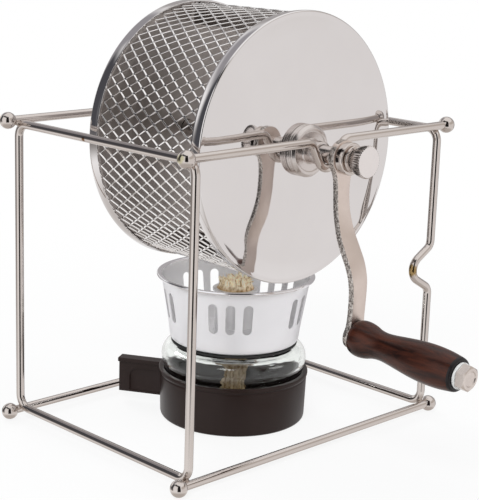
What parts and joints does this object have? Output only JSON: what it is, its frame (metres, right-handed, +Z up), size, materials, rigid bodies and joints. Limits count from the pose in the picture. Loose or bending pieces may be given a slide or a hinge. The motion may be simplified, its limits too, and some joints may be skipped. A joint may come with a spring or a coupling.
{
  "type": "manual coffee roaster",
  "caption": "Tabletop coffee roaster: an expanded-mesh drum turned by a wooden-gripped crank, in a bent wire stand above a glass spirit burner with a slotted wind shield.",
  "frame": {"origin": "on the table under the middle of the stand, a point of the burner base's underside", "axes": "+Z up, +Y from the crank towards the rear, +X to the right when seen from the crank"},
  "size_m": [0.2254, 0.2756, 0.2572],
  "materials": {
    "nickel_wire": "nickel-plated wire, satin to bright",
    "bright_fittings": "bright nickel plating",
    "mirror_steel": "mirror polish",
    "drum_mesh_steel": "plated expanded metal, bright",
    "cast_nickel": "warm satin nickel",
    "lacquered_wood": "dark red-brown lacquer",
    "white_nylon": "matte",
    "brown_moulding": "dark brown, semi-gloss",
    "fuel_glass": "clear, moulded",
    "black_rubber": "matte",
    "spun_aluminium": "bright spun aluminium",
    "cotton": "frayed cream cotton"
  },
  "bodies": {
    "stand": {"left_side_loop": "nickel_wire", "right_side_loop": "nickel_wire", "front_top_rod": "nickel_wire", "rear_top_rod": "nickel_wire", "front_bottom_rod": "nickel_wire", "rear_bottom_rod": "nickel_wire", "front_bottom_left_ball": "bright_fittings", "front_bottom_right_ball": "bright_fittings", "front_top_left_ball": "bright_fittings", "front_top_right_ball": "bright_fittings", "rear_bottom_left_ball": "bright_fittings", "rear_bottom_right_ball": "bright_fittings", "rear_top_left_ball": "bright_fittings", "rear_top_right_ball": "bright_fittings"},
    "drum": {"drum_mesh": "drum_mesh_steel", "front_cap": "mirror_steel", "rear_cap": "mirror_steel", "drum_shaft": "bright_fittings", "front_hub": "cast_nickel", "rear_hub": "cast_nickel", "front_hub_set_screw": "bright_fittings", "rear_hub_set_screw": "bright_fittings", "lifting_vane_1": "drum_mesh_steel", "lifting_vane_2": "drum_mesh_steel", "crank_arm": "cast_nickel", "crank_collar": "bright_fittings", "thumb_nut": "cast_nickel", "grip_bolt": "cast_nickel", "grip_washer": "white_nylon"},
    "grip": {"wooden_grip": "lacquered_wood"},
    "burner": {"burner_base": "brown_moulding", "glass_bowl": "fuel_glass", "burner_gasket": "black_rubber", "wind_shield": "spun_aluminium", "wick_holder": "spun_aluminium", "wick": "cotton"}
  },
  "joints": [
    {"name": "drum_spin", "type": "hinge", "parent": "stand", "child": "drum", "pos_m": [0, 0, 0.178], "axis": [0, 1, 0], "continuous": true},
    {"name": "grip_spin", "type": "hinge", "parent": "drum", "child": "grip", "pos_m": [0, -0.10675, 0.0774], "axis": [0, 0.9986, 0.0523], "continuous": true},
    {"name": "burner_slide", "type": "slide", "parent": "stand", "child": "burner", "axis": [1, 0, 0], "range_m": [-0.05, 0.038]}
  ]
}
